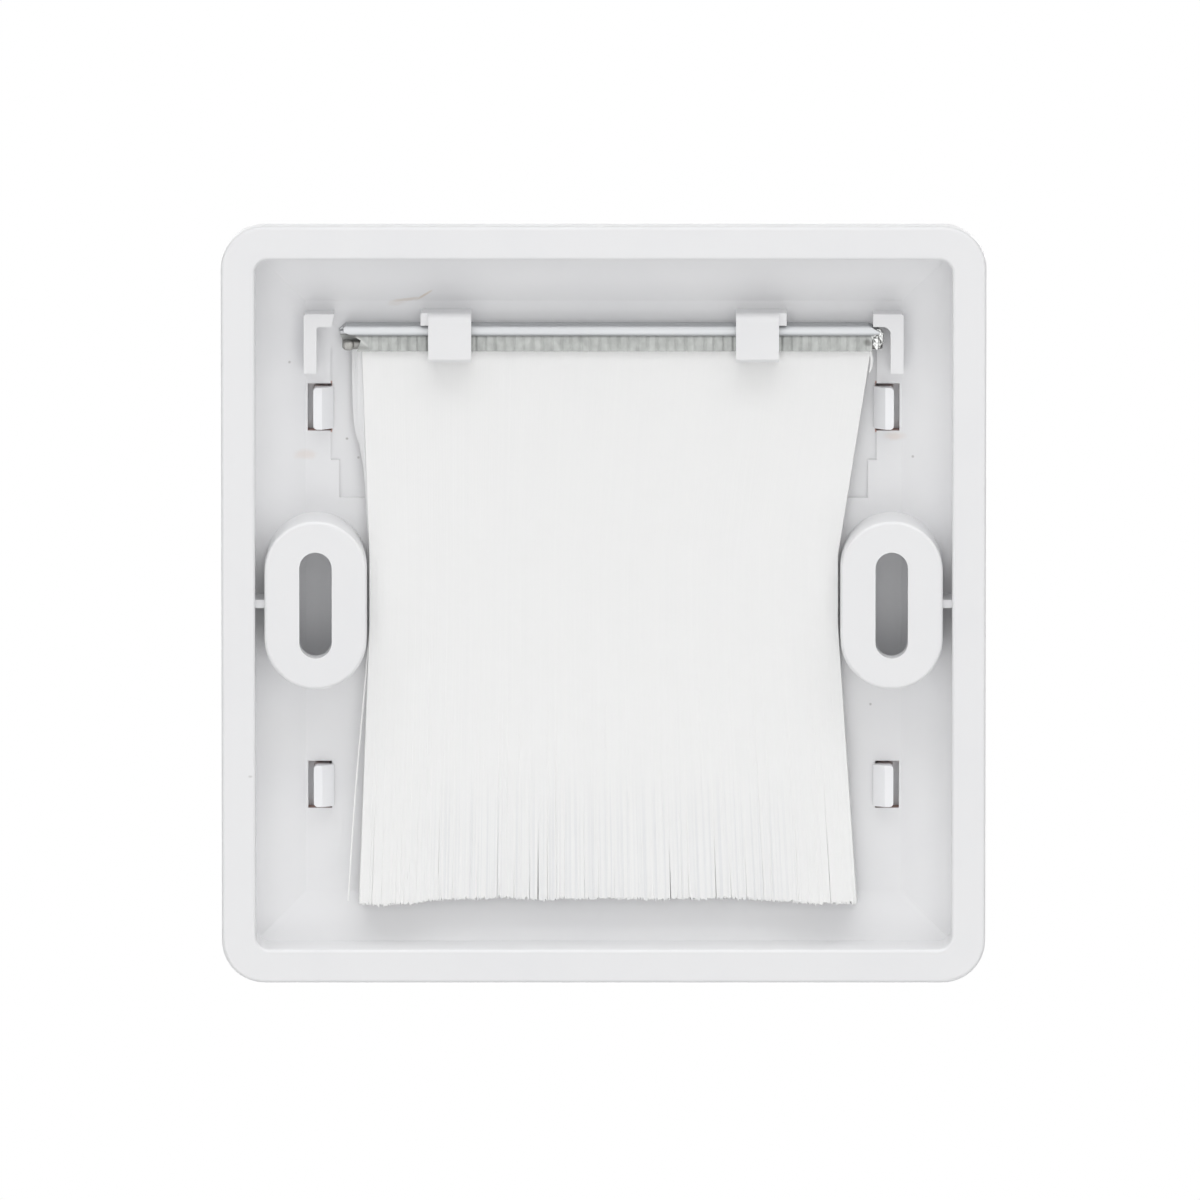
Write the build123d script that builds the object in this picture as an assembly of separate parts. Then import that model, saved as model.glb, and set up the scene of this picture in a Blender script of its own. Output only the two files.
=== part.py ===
from build123d import *
from math import sin, tan, radians
import os

# Brush wall plate: a moulded back frame with a strip brush hooked into it, and a clip-on front cover.
# The plate stands as it is used. X runs across it and Z up it, and the wall is the plane Y = 0.
# Depths are measured from the wall towards the room, which is -Y.

# Outline shared by the frame and the cover
PLATE = 80.0
PLATE_CORNER_R = 4.5
SIDE_DRAFT_DEG = 6.5

# Back frame: rim, nested wall and floor
RIM_W = 3.54
RIM_EDGE_R = 0.35
LIP_DEPTH = 2.4
TRAY_CORNER_R = 1.4
NEST_WALL = 1.5
WALL_DEPTH = 5.8
FLOOR_BEVEL_RUN = 5.2
FLOOR_DEPTH = 7.0
FLOOR_T = 1.8

# Screw bosses, on the pitch of a wall box
SCREW_PITCH = 60.3
BOSS_W = 10.7
BOSS_L = 17.8
BOSS_WALL = 1.65
BOSS_END_WALL = 2.2
SLOT_W = 3.4
SLOT_L = 11.2
BOSS_RIB_T = 0.85
BOSS_RIB_DEPTH = 1.2

# Snap holes in the floor, two on each side
SNAP_HOLE_W = 2.5
SNAP_HOLE_L = 5.0
SNAP_HOLE_MARGIN = 2.76
SNAP_PITCH = 40.0

# Cable opening behind the bristles
CABLE_W = 45.0
CABLE_TOP = 9.0
CABLE_BOTTOM = -27.0
CABLE_CORNER_R = 2.0

# Shallow seat moulded into the floor behind the brush
SEAT_SINK = 0.4
SEAT_MARGIN = 2.66
SEAT_STEP = 0.9
SEAT_BOTTOM = 10.4
SEAT_STEP_Z = 14.4

# Front cover
COVER_INSET = 0.2
COVER_FACE_T = 2.0
COVER_SIDE_GAP = 0.15
COVER_FRONT_GAP = 0.15
COVER_BEVEL_RUN = 6.5
COVER_BEVEL_DROP = 1.3
COVER_EDGE_CUT = 0.5
COVER_LIP = 0.5
COVER_OPENING_EDGE = 0.7

# Snap claws of the cover
CLAW_T = 1.6
CLAW_L = 4.4
CLAW_REACH = 1.45
CLAW_BARB = 0.5
CLAW_BARB_H = 0.75
CLAW_GAP = 0.3
CLAW_FLAT = 0.9
CLAW_ROUND = 0.4

# Strip brush: folded metal channel
CHANNEL_DROP = 7.41
CHANNEL_H = 2.8
CHANNEL_T = 3.0
CHANNEL_SHEET = 0.35
CHANNEL_BEAD_H = 1.2
CHANNEL_BEAD_R = 0.55
CHANNEL_PINCH = 0.45
CHANNEL_FAR_GAP = 7.46
CHANNEL_NEAR_GAP = 8.76

# Sheared ends of the channel, and the corners torn off its leg on the wall side
SHEAR_H = 0.75
FAR_SHEAR = 1.35
NEAR_SHEAR = 0.8
NEAR_SLANT = 0.5
FOOT_SHEAR = 0.6
FAR_LEG_CUT = 0.9
NEAR_LEG_CUT = 2.3
NEAR_FOOT_CUT = 1.8
NEAR_CUT_H = 0.9

# Crimp marks along both legs
CRIMP_PITCH = 1.0
CRIMP_W = 0.45
CRIMP_DEPTH = 0.1

# Strip brush: core wire and bristles
WIRE_R = 0.5
WIRE_FOOT = 0.1
WIRE_FAR_OUT = 0.2
WIRE_NEAR_IN = 0.35
WIRE_END_CUT = 0.15
FILL_GAP = 0.05
BRISTLE_FAR_INSET = 1.1
BRISTLE_NEAR_INSET = 2.0
BRISTLE_GAP = 0.3
BRISTLE_TIP_GAP = 4.16
TIP_WAVE = 0.4
TIP_HALF_W = 26.4
TIP_SHIFT = 0.8
TIP_T = 2.3
ROOT_RIDGE = 0.12
TIP_RIDGE = 0.55
RIDGES = 42

# Hooks that hold the channel against the floor
HOOK_X = 16.5
HOOK_STEM_W = 5.3
HOOK_ARM_W = 4.5
HOOK_ARM_T = 1.4
HOOK_STEM_T = 1.3
HOOK_DROP = 0.95
HOOK_LIP = 0.3
HOOK_ROUND = 0.9
HOOK_CHAMFER = 0.35
SEAT_CLEARANCE = 0.05

# L-shaped ribs that locate the channel's ends
LOCATOR_END_GAP = 2.34
LOCATOR_T = 1.35
LOCATOR_H = 2.85
LOCATOR_L = 6.3
LOCATOR_RISE = 1.15
LOCATOR_BAR = 1.35
LOCATOR_REACH = 1.84
LOCATOR_NEAR_SLANT = 0.3
LOCATOR_NEAR_FILLET = 0.3
LOCATOR_FAR_FILLET = 0.8

# Sizes that follow
HALF = PLATE / 2
TRAY_HALF = HALF - RIM_W
NEST_HALF = TRAY_HALF + NEST_WALL
FLOOR_HALF = TRAY_HALF - FLOOR_BEVEL_RUN
FRAME_FRONT = FLOOR_DEPTH + FLOOR_T
NEST_FRONT = WALL_DEPTH + FLOOR_T
NEST_CORNER_R = TRAY_CORNER_R + NEST_WALL
SEAT_DEPTH = FLOOR_DEPTH + SEAT_SINK
BOSS_X = SCREW_PITCH / 2
SNAP_HOLE_EDGE = FLOOR_HALF - SNAP_HOLE_MARGIN
SNAP_HOLE_X = SNAP_HOLE_EDGE + SNAP_HOLE_W / 2
SEAT_TOP_HALF = FLOOR_HALF - SEAT_MARGIN
SEAT_LOW_HALF = SEAT_TOP_HALF - SEAT_STEP
CABLE_H = CABLE_TOP - CABLE_BOTTOM
CABLE_Z = (CABLE_TOP + CABLE_BOTTOM) / 2
COVER_BACK = FRAME_FRONT + COVER_FRONT_GAP
COVER_FRONT = COVER_BACK + COVER_FACE_T
COVER_EDGE_DEPTH = COVER_FRONT - COVER_BEVEL_DROP
CHANNEL_TOP = TRAY_HALF - CHANNEL_DROP
CHANNEL_BOTTOM = CHANNEL_TOP - CHANNEL_H
CHANNEL_FAR_END = CHANNEL_FAR_GAP - TRAY_HALF
CHANNEL_NEAR_END = TRAY_HALF - CHANNEL_NEAR_GAP
CHANNEL_BEAD_Z = CHANNEL_TOP - CHANNEL_BEAD_H
BRUSH_DEPTH = FLOOR_DEPTH - SEAT_CLEARANCE - CHANNEL_T / 2
BRISTLE_HALF_T = CHANNEL_T / 2 - CHANNEL_PINCH - CHANNEL_SHEET - FILL_GAP
WIRE_Z = CHANNEL_BOTTOM + WIRE_FOOT + WIRE_R
ROOT_FAR_END = CHANNEL_FAR_END + BRISTLE_FAR_INSET
ROOT_NEAR_END = CHANNEL_NEAR_END - BRISTLE_NEAR_INSET
BRISTLE_END = BRISTLE_TIP_GAP - TRAY_HALF
LOCATOR_X = CHANNEL_NEAR_END + LOCATOR_END_GAP
LOCATOR_TOP = CHANNEL_TOP + LOCATOR_RISE
LOCATOR_BOTTOM = LOCATOR_TOP - LOCATOR_L
ARM_UNDERSIDE = BRUSH_DEPTH - CHANNEL_T / 2 - SEAT_CLEARANCE
ARM_FACE = ARM_UNDERSIDE - HOOK_ARM_T
STEM_BOTTOM = CHANNEL_TOP + SEAT_CLEARANCE
EMBED = 0.3


def at_depth(depth):
    """Plane parallel to the wall, facing the room; its own x and y are X and Z."""
    return Plane.XZ.offset(depth)


def square(half, corner_r, depth):
    """Rounded square centred on the plate, at one depth."""
    return at_depth(depth) * RectangleRounded(2 * half, 2 * half, corner_r)


def slab(half, corner_r, start, end):
    """Rounded square block from one depth to another."""
    return extrude(square(half, corner_r, start), end - start)


def square_taper(*steps):
    """Sharp square block through pairs of half width and depth, the same seen from all four sides."""
    right = [(half, -depth) for half, depth in steps]
    left = [(-half, -depth) for half, depth in reversed(steps)]
    outline = make_face(Polyline(*right, *left, close=True))
    across = extrude(outline, steps[0][0], both=True)
    return across & across.rotate(Axis.Y, 90)


def bevelled_block(half, corner_r, start, edge, flat_half, end):
    """Rounded square block whose last part closes in to a smaller square by four flat bevels."""
    bevels = square_taper((half, start), (half, edge), (flat_half, end))
    return slab(half, corner_r, start, end) & bevels


def stadium(length, width, start, end):
    """Upright stadium block centred on X = 0."""
    outline = at_depth(start) * SlotOverall(length, width, rotation=90)
    return extrude(outline, end - start)


def window(width, height, corner_r, centre_z, start, end):
    """Rounded rectangular block for the cable opening."""
    outline = at_depth(start) * Pos(0, centre_z) * RectangleRounded(width, height, corner_r)
    return extrude(outline, end - start)


def both_sides(shape):
    """The shape and its mirror image across the plate's upright centre line."""
    return [shape, mirror(shape, about=Plane.YZ)]


def tray_shell():
    """Rim, nested wall and bevelled floor, before anything stands on them."""
    lip = slab(HALF, PLATE_CORNER_R, 0, LIP_DEPTH)
    nest_sizes = (NEST_HALF, NEST_CORNER_R, LIP_DEPTH, NEST_FRONT, FLOOR_HALF, FRAME_FRONT)
    tray_sizes = (TRAY_HALF, TRAY_CORNER_R, 0, WALL_DEPTH, FLOOR_HALF, FLOOR_DEPTH)
    shell = lip + bevelled_block(*nest_sizes) - bevelled_block(*tray_sizes)
    rim = shell.faces().sort_by(Axis.Y)[-1]
    return fillet(rim.edges(), RIM_EDGE_R)


def boss():
    """Screw boss with its thin rib to the rim; its end face lies on the wall."""
    post = stadium(BOSS_L, BOSS_W, 0, FLOOR_DEPTH + EMBED)
    post = fillet(post.faces().sort_by(Axis.Y)[-1].edges(), RIM_EDGE_R)
    post = Pos(BOSS_X, 0, 0) * post
    rib_start = BOSS_X + BOSS_W / 2 - EMBED
    rib_end = TRAY_HALF + EMBED
    outline = at_depth(BOSS_RIB_DEPTH) * Pos((rib_start + rib_end) / 2, 0)
    outline *= Rectangle(rib_end - rib_start, BOSS_RIB_T)
    return post + extrude(outline, FLOOR_DEPTH + EMBED - BOSS_RIB_DEPTH)


def boss_bore():
    """Hollow for the screw's head, open to the front, and the slot through the end wall."""
    inner_l = BOSS_L - 2 * BOSS_WALL
    inner_w = BOSS_W - 2 * BOSS_WALL
    hollow = stadium(inner_l, inner_w, BOSS_END_WALL, FRAME_FRONT + EMBED)
    slot = stadium(SLOT_L, SLOT_W, -EMBED, BOSS_END_WALL + EMBED)
    return Pos(BOSS_X, 0, 0) * (hollow + slot)


def hook(side):
    """Moulded hook: a stem above the channel and an arm that reaches down over it."""
    stem_top = STEM_BOTTOM + HOOK_STEM_T
    arm_end = CHANNEL_BOTTOM - HOOK_DROP
    arm_outline = Polyline(
        (-ARM_UNDERSIDE, stem_top),
        (-ARM_FACE, stem_top),
        (-ARM_FACE, arm_end),
        (-(ARM_UNDERSIDE + HOOK_LIP), arm_end),
        (-(ARM_UNDERSIDE + HOOK_LIP), CHANNEL_BOTTOM - 2 * SEAT_CLEARANCE),
        (-ARM_UNDERSIDE, CHANNEL_BOTTOM + HOOK_LIP),
        close=True,
    )
    arm = extrude(Plane.YZ * make_face(arm_outline), HOOK_ARM_W / 2, both=True)
    face_edges = arm.edges().filter_by(Axis.X).group_by(Axis.Y)[-1].sort_by(Axis.Z)
    arm = fillet(face_edges[-1], HOOK_ROUND)
    face_edges = arm.edges().filter_by(Axis.X).group_by(Axis.Y)[-1].sort_by(Axis.Z)
    arm = chamfer(face_edges[0], HOOK_CHAMFER)
    stem_near = -(ARM_FACE + HOOK_ROUND)
    stem_far = -(FLOOR_DEPTH + EMBED)
    stem_mid = Pos(0, (stem_near + stem_far) / 2, STEM_BOTTOM + HOOK_STEM_T / 2)
    stem = stem_mid * Box(HOOK_STEM_W, stem_near - stem_far, HOOK_STEM_T)
    arm_shift = (HOOK_STEM_W - HOOK_ARM_W) / 2
    return Pos(side * HOOK_X, 0, 0) * (stem + Pos(-side * arm_shift, 0, 0) * arm)


def locator(slant, inner_fillet):
    """L-shaped rib at the channel's end, on the +X side."""
    outer = LOCATOR_X + LOCATOR_T
    tip = LOCATOR_X - LOCATOR_REACH
    bar_bottom = LOCATOR_TOP - LOCATOR_BAR
    outline = Polyline(
        (LOCATOR_X, LOCATOR_BOTTOM),
        (outer, LOCATOR_BOTTOM),
        (outer, LOCATOR_TOP),
        (tip, LOCATOR_TOP),
        (tip + slant, bar_bottom),
        (LOCATOR_X, bar_bottom),
        close=True,
    )
    face = at_depth(FLOOR_DEPTH - LOCATOR_H) * make_face(outline)
    rib = extrude(face, LOCATOR_H + EMBED)
    uprights = rib.edges().filter_by(Axis.Y)
    inner_corner = uprights.sort_by_distance((LOCATOR_X, -FLOOR_DEPTH, bar_bottom))[0]
    rib = fillet(inner_corner, inner_fillet)
    uprights = rib.edges().filter_by(Axis.Y)
    outer_corner = uprights.sort_by_distance((outer, -FLOOR_DEPTH, LOCATOR_TOP))[0]
    return fillet(outer_corner, LOCATOR_NEAR_FILLET)


def snap_hole(side, row):
    """Rectangular hole in the floor for one claw of the cover."""
    centre = Pos(side * SNAP_HOLE_X, -FLOOR_DEPTH, row * SNAP_PITCH / 2)
    return centre * Box(SNAP_HOLE_W, 3 * FLOOR_T, SNAP_HOLE_L)


def brush_seat():
    """Shallow stepped recess in the floor behind the top of the brush."""
    top = CHANNEL_BOTTOM - SEAT_CLEARANCE
    outline = Polyline(
        (-SEAT_LOW_HALF, SEAT_BOTTOM),
        (SEAT_LOW_HALF, SEAT_BOTTOM),
        (SEAT_LOW_HALF, SEAT_STEP_Z),
        (SEAT_TOP_HALF, SEAT_STEP_Z),
        (SEAT_TOP_HALF, top),
        (-SEAT_TOP_HALF, top),
        (-SEAT_TOP_HALF, SEAT_STEP_Z),
        (-SEAT_LOW_HALF, SEAT_STEP_Z),
        close=True,
    )
    face = at_depth(FLOOR_DEPTH - EMBED) * make_face(outline)
    return extrude(face, SEAT_SINK + EMBED)


def back_frame():
    """The moulding that is screwed to the wall box and carries the brush."""
    frame = tray_shell()
    frame -= brush_seat()
    for piece in both_sides(boss()):
        frame += piece
    for bore in both_sides(boss_bore()):
        frame -= bore
    for side in (-1, 1):
        frame += hook(side)
        for row in (-1, 1):
            frame -= snap_hole(side, row)
    frame += locator(LOCATOR_NEAR_SLANT, LOCATOR_NEAR_FILLET)
    frame += mirror(locator(0, LOCATOR_FAR_FILLET), about=Plane.YZ)
    back, front = FLOOR_DEPTH - EMBED, FRAME_FRONT + EMBED
    frame -= window(CABLE_W, CABLE_H, CABLE_CORNER_R, CABLE_Z, back, front)
    return frame


def claw(row):
    """Snap claw on the +X side, its barb hooked over the inner edge of its hole."""
    inner = SNAP_HOLE_EDGE + CLAW_GAP
    catch = SEAT_DEPTH if row > 0 else FLOOR_DEPTH
    barb_top = catch - CLAW_BARB_H
    tip = FLOOR_DEPTH - CLAW_REACH
    outline = Polyline(
        (inner, -(COVER_BACK + EMBED)),
        (inner, -catch),
        (inner - CLAW_BARB, -catch),
        (inner - CLAW_BARB, -barb_top),
        (inner + CLAW_T - CLAW_FLAT, -tip),
        (inner + CLAW_T, -tip),
        (inner + CLAW_T, -(COVER_BACK + EMBED)),
        close=True,
    )
    body = extrude(make_face(outline), CLAW_L / 2, both=True)
    tip_corners = body.edges().filter_by(Axis.Y).sort_by(Axis.X)[-2:]
    body = fillet(tip_corners, CLAW_ROUND)
    return Pos(0, 0, row * SNAP_PITCH / 2) * body


def front_cover():
    """Clip-on cover: drafted sides, a shallow bevelled front and the cable opening."""
    rim_half = HALF - COVER_INSET
    edge_half = rim_half - (COVER_EDGE_DEPTH - LIP_DEPTH) * tan(radians(SIDE_DRAFT_DEG))
    flat_half = edge_half - COVER_BEVEL_RUN
    rim_r = PLATE_CORNER_R - COVER_INSET
    drafted = extrude(
        square(rim_half, rim_r, LIP_DEPTH),
        COVER_FRONT - LIP_DEPTH,
        taper=SIDE_DRAFT_DEG,
    )
    side_run = COVER_EDGE_CUT * tan(radians(SIDE_DRAFT_DEG))
    front_rise = COVER_EDGE_CUT * COVER_BEVEL_DROP / COVER_BEVEL_RUN
    bevels = square_taper(
        (rim_half, LIP_DEPTH),
        (edge_half + side_run, COVER_EDGE_DEPTH - COVER_EDGE_CUT),
        (edge_half - COVER_EDGE_CUT, COVER_EDGE_DEPTH + front_rise),
        (flat_half, COVER_FRONT),
    )
    cover = drafted & bevels
    inner_half = NEST_HALF + COVER_SIDE_GAP
    inner_r = NEST_CORNER_R + COVER_SIDE_GAP
    inner_front = NEST_FRONT + COVER_FRONT_GAP
    cover -= bevelled_block(inner_half, inner_r, LIP_DEPTH, inner_front, FLOOR_HALF, COVER_BACK)
    for row in (-1, 1):
        for piece in both_sides(claw(row)):
            cover += piece
    opening_w = CABLE_W - 2 * COVER_LIP
    opening_h = CABLE_H - 2 * COVER_LIP
    back, front = COVER_BACK - EMBED, COVER_FRONT + EMBED
    cover -= window(opening_w, opening_h, CABLE_CORNER_R, CABLE_Z, back, front)
    flat = cover.faces().sort_by(Axis.Y)[0]
    return chamfer(flat.inner_wires()[0].edges(), COVER_OPENING_EDGE)


def channel_outline(inset, bottom):
    """Section of the folded strip, shrunk by the inset: a bead on top of two pinched legs."""
    leg_half = CHANNEL_T / 2 - CHANNEL_PINCH - inset
    bead_half = CHANNEL_T / 2 - inset
    bead_bottom = CHANNEL_BEAD_Z + inset
    top = CHANNEL_TOP - inset
    bead_mid = (bead_bottom + top) / 2
    legs = Pos(0, (bottom + bead_mid) / 2) * Rectangle(2 * leg_half, bead_mid - bottom)
    bead = Pos(0, bead_mid) * Rectangle(2 * bead_half, top - bead_bottom)
    return legs + fillet(bead.vertices(), CHANNEL_BEAD_R - inset)


def crimp_dents():
    """Upright crimp marks pressed into both legs, each a shallow groove."""
    leg_half = CHANNEL_T / 2 - CHANNEL_PINCH
    height = CHANNEL_BEAD_Z - CHANNEL_BOTTOM
    first = CHANNEL_FAR_END + FAR_LEG_CUT + CRIMP_PITCH / 2
    count = int((CHANNEL_NEAR_END - NEAR_LEG_CUT - CRIMP_W - first) / CRIMP_PITCH)
    outline = Polyline((0, -CRIMP_DEPTH), (CRIMP_W, CRIMP_DEPTH), (-CRIMP_W, CRIMP_DEPTH), close=True)
    wall_dent = extrude(make_face(outline), height + EMBED)
    room_dent = mirror(wall_dent, about=Plane.XZ)
    base = CHANNEL_BOTTOM - EMBED
    grooves = []
    for i in range(count + 1):
        x = first + i * CRIMP_PITCH
        grooves.append(Pos(x, leg_half - BRUSH_DEPTH, base) * wall_dent)
        grooves.append(Pos(x, -leg_half - BRUSH_DEPTH, base) * room_dent)
    return grooves


def channel_ends():
    """Everything between the channel's two sheared ends."""
    tip_z = CHANNEL_TOP - SHEAR_H
    side = Polyline(
        (CHANNEL_FAR_END + FOOT_SHEAR, CHANNEL_BOTTOM),
        (CHANNEL_NEAR_END - FOOT_SHEAR, CHANNEL_BOTTOM),
        (CHANNEL_NEAR_END, tip_z),
        (CHANNEL_NEAR_END - NEAR_SHEAR, CHANNEL_TOP),
        (CHANNEL_FAR_END + FAR_SHEAR, CHANNEL_TOP),
        (CHANNEL_FAR_END, tip_z),
        close=True,
    )
    wall_face = CHANNEL_T / 2 - BRUSH_DEPTH
    room_face = -CHANNEL_T / 2 - BRUSH_DEPTH
    plan = Polyline(
        (CHANNEL_FAR_END, room_face),
        (CHANNEL_NEAR_END, room_face),
        (CHANNEL_NEAR_END - NEAR_SLANT, wall_face),
        (CHANNEL_FAR_END, wall_face),
        close=True,
    )
    seen_square_on = extrude(at_depth(BRUSH_DEPTH) * make_face(side), CHANNEL_T, both=True)
    seen_from_above = extrude(make_face(plan), PLATE, both=True)
    return seen_square_on & seen_from_above


def torn_corners():
    """Both ends of the leg on the wall side, torn back further than the rest of the strip."""
    far = CHANNEL_FAR_END - EMBED
    near = CHANNEL_NEAR_END + EMBED
    low = CHANNEL_BOTTOM - EMBED
    far_outline = Polyline(
        (far, low),
        (CHANNEL_FAR_END + FAR_LEG_CUT, low),
        (CHANNEL_FAR_END + FAR_LEG_CUT, CHANNEL_BEAD_Z),
        (far, CHANNEL_TOP - SHEAR_H),
        close=True,
    )
    near_outline = Polyline(
        (near, low),
        (CHANNEL_NEAR_END - NEAR_FOOT_CUT, low),
        (CHANNEL_NEAR_END - NEAR_LEG_CUT, CHANNEL_TOP - SHEAR_H - NEAR_CUT_H),
        (CHANNEL_NEAR_END - FOOT_SHEAR, CHANNEL_TOP - SHEAR_H),
        (near, CHANNEL_TOP - SHEAR_H),
        close=True,
    )
    plane = at_depth(BRUSH_DEPTH)
    return [extrude(plane * make_face(outline), -CHANNEL_T) for outline in (far_outline, near_outline)]


def brush_channel():
    """Galvanised strip folded over the bristles and crimped, with sheared ends."""
    section = channel_outline(0, CHANNEL_BOTTOM)
    section -= channel_outline(CHANNEL_SHEET, CHANNEL_BOTTOM - EMBED)
    length = CHANNEL_NEAR_END - CHANNEL_FAR_END
    start = Plane.YZ.offset(CHANNEL_FAR_END) * Pos(-BRUSH_DEPTH, 0)
    strip = extrude(start * section, length)
    return (strip & channel_ends()) - torn_corners() - crimp_dents()


def wire_bar(radius):
    """Round bar along the core wire's line."""
    start = CHANNEL_FAR_END - WIRE_FAR_OUT
    end = CHANNEL_NEAR_END - WIRE_NEAR_IN
    centre = Plane.YZ.offset(start) * Pos(-BRUSH_DEPTH, WIRE_Z)
    return extrude(centre * Circle(radius), end - start)


def core_wire():
    """Wire that the bristles are folded around; its two cut ends stick out."""
    bar = wire_bar(WIRE_R)
    return chamfer(bar.edges().filter_by(GeomType.CIRCLE), WIRE_END_CUT)


def ridged_section(z, low_x, high_x, half_t, ridge):
    """Level cut through the bristles: crests and valleys along both faces."""
    steps = 2 * RIDGES
    pitch = (high_x - low_x) / steps
    front, back = [], []
    for i in range(steps + 1):
        sink = ridge * (0.55 + 0.45 * sin(1.7 * i)) if i % 2 else 0.12 * ridge * (1 + sin(2.9 * i))
        front.append((low_x + i * pitch, -BRUSH_DEPTH - half_t + sink, z))
        back.append((low_x + i * pitch, -BRUSH_DEPTH + half_t - sink, z))
    return make_face(Polyline(*front, *reversed(back), close=True))


def bristle_root():
    """Bristles inside the channel, folded over the core wire."""
    fold = Pos(0, WIRE_Z) * Circle(BRISTLE_HALF_T)
    legs_h = WIRE_Z - CHANNEL_BOTTOM
    fold += Pos(0, WIRE_Z - legs_h / 2) * Rectangle(2 * BRISTLE_HALF_T, legs_h)
    plane = Plane.YZ.offset(ROOT_FAR_END) * Pos(-BRUSH_DEPTH, 0)
    return extrude(plane * fold, ROOT_NEAR_END - ROOT_FAR_END)


def tip_trim():
    """Everything below the uneven line of the bristles' tips."""
    steps = RIDGES
    low_x = -TIP_HALF_W - TIP_T
    pitch = -2 * low_x / steps
    line = []
    for i in range(steps + 1):
        wave = (sin(0.33 * i + 2.2) + sin(2.4 * i)) / 2
        line.append((low_x + i * pitch, BRISTLE_END + TIP_WAVE * wave))
    low_z = BRISTLE_END - 4 * TIP_WAVE
    outline = Polyline(*line, (-low_x, low_z), (low_x, low_z), close=True)
    return extrude(at_depth(BRUSH_DEPTH) * make_face(outline), 2 * TIP_T, both=True)


def bristles():
    """Fill of the brush: ridged curtain, pinched between the bosses and uneven at its tips."""
    neck_half = BOSS_X - BOSS_W / 2 - BRISTLE_GAP
    neck_z = (BOSS_L - BOSS_W) / 2
    mouth_t = BRISTLE_HALF_T - FILL_GAP
    neck_ridge = (ROOT_RIDGE + TIP_RIDGE) / 2
    root_low = ROOT_FAR_END + EMBED
    root_high = ROOT_NEAR_END - EMBED
    neck_t = (mouth_t + TIP_T / 2) / 2
    tip_z = BRISTLE_END - 2 * TIP_WAVE
    curtain = loft(
        [
            ridged_section(CHANNEL_BOTTOM + EMBED, root_low, root_high, mouth_t, ROOT_RIDGE),
            ridged_section(neck_z, -neck_half, neck_half, neck_t, neck_ridge),
            ridged_section(-neck_z, -neck_half, neck_half, neck_t, neck_ridge),
            ridged_section(tip_z, -TIP_HALF_W, TIP_HALF_W - TIP_SHIFT, TIP_T / 2, TIP_RIDGE),
        ],
        ruled=True,
    )
    return bristle_root() + (curtain - tip_trim()) - wire_bar(WIRE_R)


NODES = {
    "back_frame": back_frame,
    "front_cover": front_cover,
    "brush_channel": brush_channel,
    "core_wire": core_wire,
    "bristles": bristles,
}

os.makedirs("parts", exist_ok=True)
for name, build in NODES.items():
    shape = build()
    solids = shape.solids()
    print(name, len(solids), "solid,", round(shape.volume, 1), "mm3")
    export_step(shape, f"parts/{name}.step")
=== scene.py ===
# %% [markdown]
# # Dressing a brush wall plate
#
# The plate is an 80 mm square seen from the side that goes against the wall: a tray-shaped frame of white
# plastic, a strip brush hooked into it, and the four claws of the front cover. The CAD model already has the
# true shapes, so this lesson adds what CAD leaves out: the finish of each piece, the thousands of single
# bristles, and the soft light of a product photo.

# %% Load the fixed frame
import bpy
import bmesh
import math
import random
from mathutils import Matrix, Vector, noise


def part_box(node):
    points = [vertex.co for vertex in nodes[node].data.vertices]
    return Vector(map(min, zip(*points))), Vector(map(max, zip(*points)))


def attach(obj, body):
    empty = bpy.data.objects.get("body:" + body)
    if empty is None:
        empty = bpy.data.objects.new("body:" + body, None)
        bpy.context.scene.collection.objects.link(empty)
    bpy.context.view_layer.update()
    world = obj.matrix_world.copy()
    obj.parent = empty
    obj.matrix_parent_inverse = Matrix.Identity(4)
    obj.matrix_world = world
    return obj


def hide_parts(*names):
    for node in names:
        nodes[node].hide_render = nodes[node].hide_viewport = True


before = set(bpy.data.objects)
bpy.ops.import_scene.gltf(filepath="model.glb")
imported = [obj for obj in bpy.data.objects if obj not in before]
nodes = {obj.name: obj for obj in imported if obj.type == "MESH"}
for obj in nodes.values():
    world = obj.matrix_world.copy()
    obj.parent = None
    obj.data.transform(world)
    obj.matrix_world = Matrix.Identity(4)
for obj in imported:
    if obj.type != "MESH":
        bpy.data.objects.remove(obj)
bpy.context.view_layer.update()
MM = 0.001
print("frame nodes:", ", ".join(sorted(nodes)))

# %% [markdown]
# ## The camera
#
# A product photo of a small part is taken from far off with a long lens, so that its sides stay nearly
# parallel. The view is square on to the wall side and looks 8.5 degrees down. A long lens at three metres gives
# the same picture, and the width of the view at the plate sets the focal length.

# %% Camera
VIEW_WIDTH = 125.556 * MM
CAMERA_DISTANCE = 3.0
CAMERA_DOWN = math.radians(8.5)
AIM = Vector((0.377 * MM, 0.0, 0.6 * MM))

lens = bpy.data.cameras.new("camera")
lens.sensor_width = 36.0
lens.lens = lens.sensor_width * CAMERA_DISTANCE / VIEW_WIDTH
lens.clip_start = 0.1
lens.clip_end = 50.0
camera = bpy.data.objects.new("camera", lens)
bpy.context.scene.collection.objects.link(camera)
back = Vector((0.0, math.cos(CAMERA_DOWN), math.sin(CAMERA_DOWN)))
camera.location = AIM + back * CAMERA_DISTANCE
camera.rotation_euler = (-back).to_track_quat("-Z", "Y").to_euler()
bpy.context.scene.camera = camera
bpy.context.scene.view_settings.view_transform = "Standard"
print("lens", round(lens.lens, 1), "mm")

# %% [markdown]
# ## Sums in place of wires
#
# A finish is a small sum: a base colour plus a little cloudiness, times one minus the dirt. Wiring each sum by
# hand hides it in dozens of lines. This class wraps one socket and lets Python's own signs add the Math nodes,
# so a finish reads as the sum it is. One method makes every other kind of node.

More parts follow.
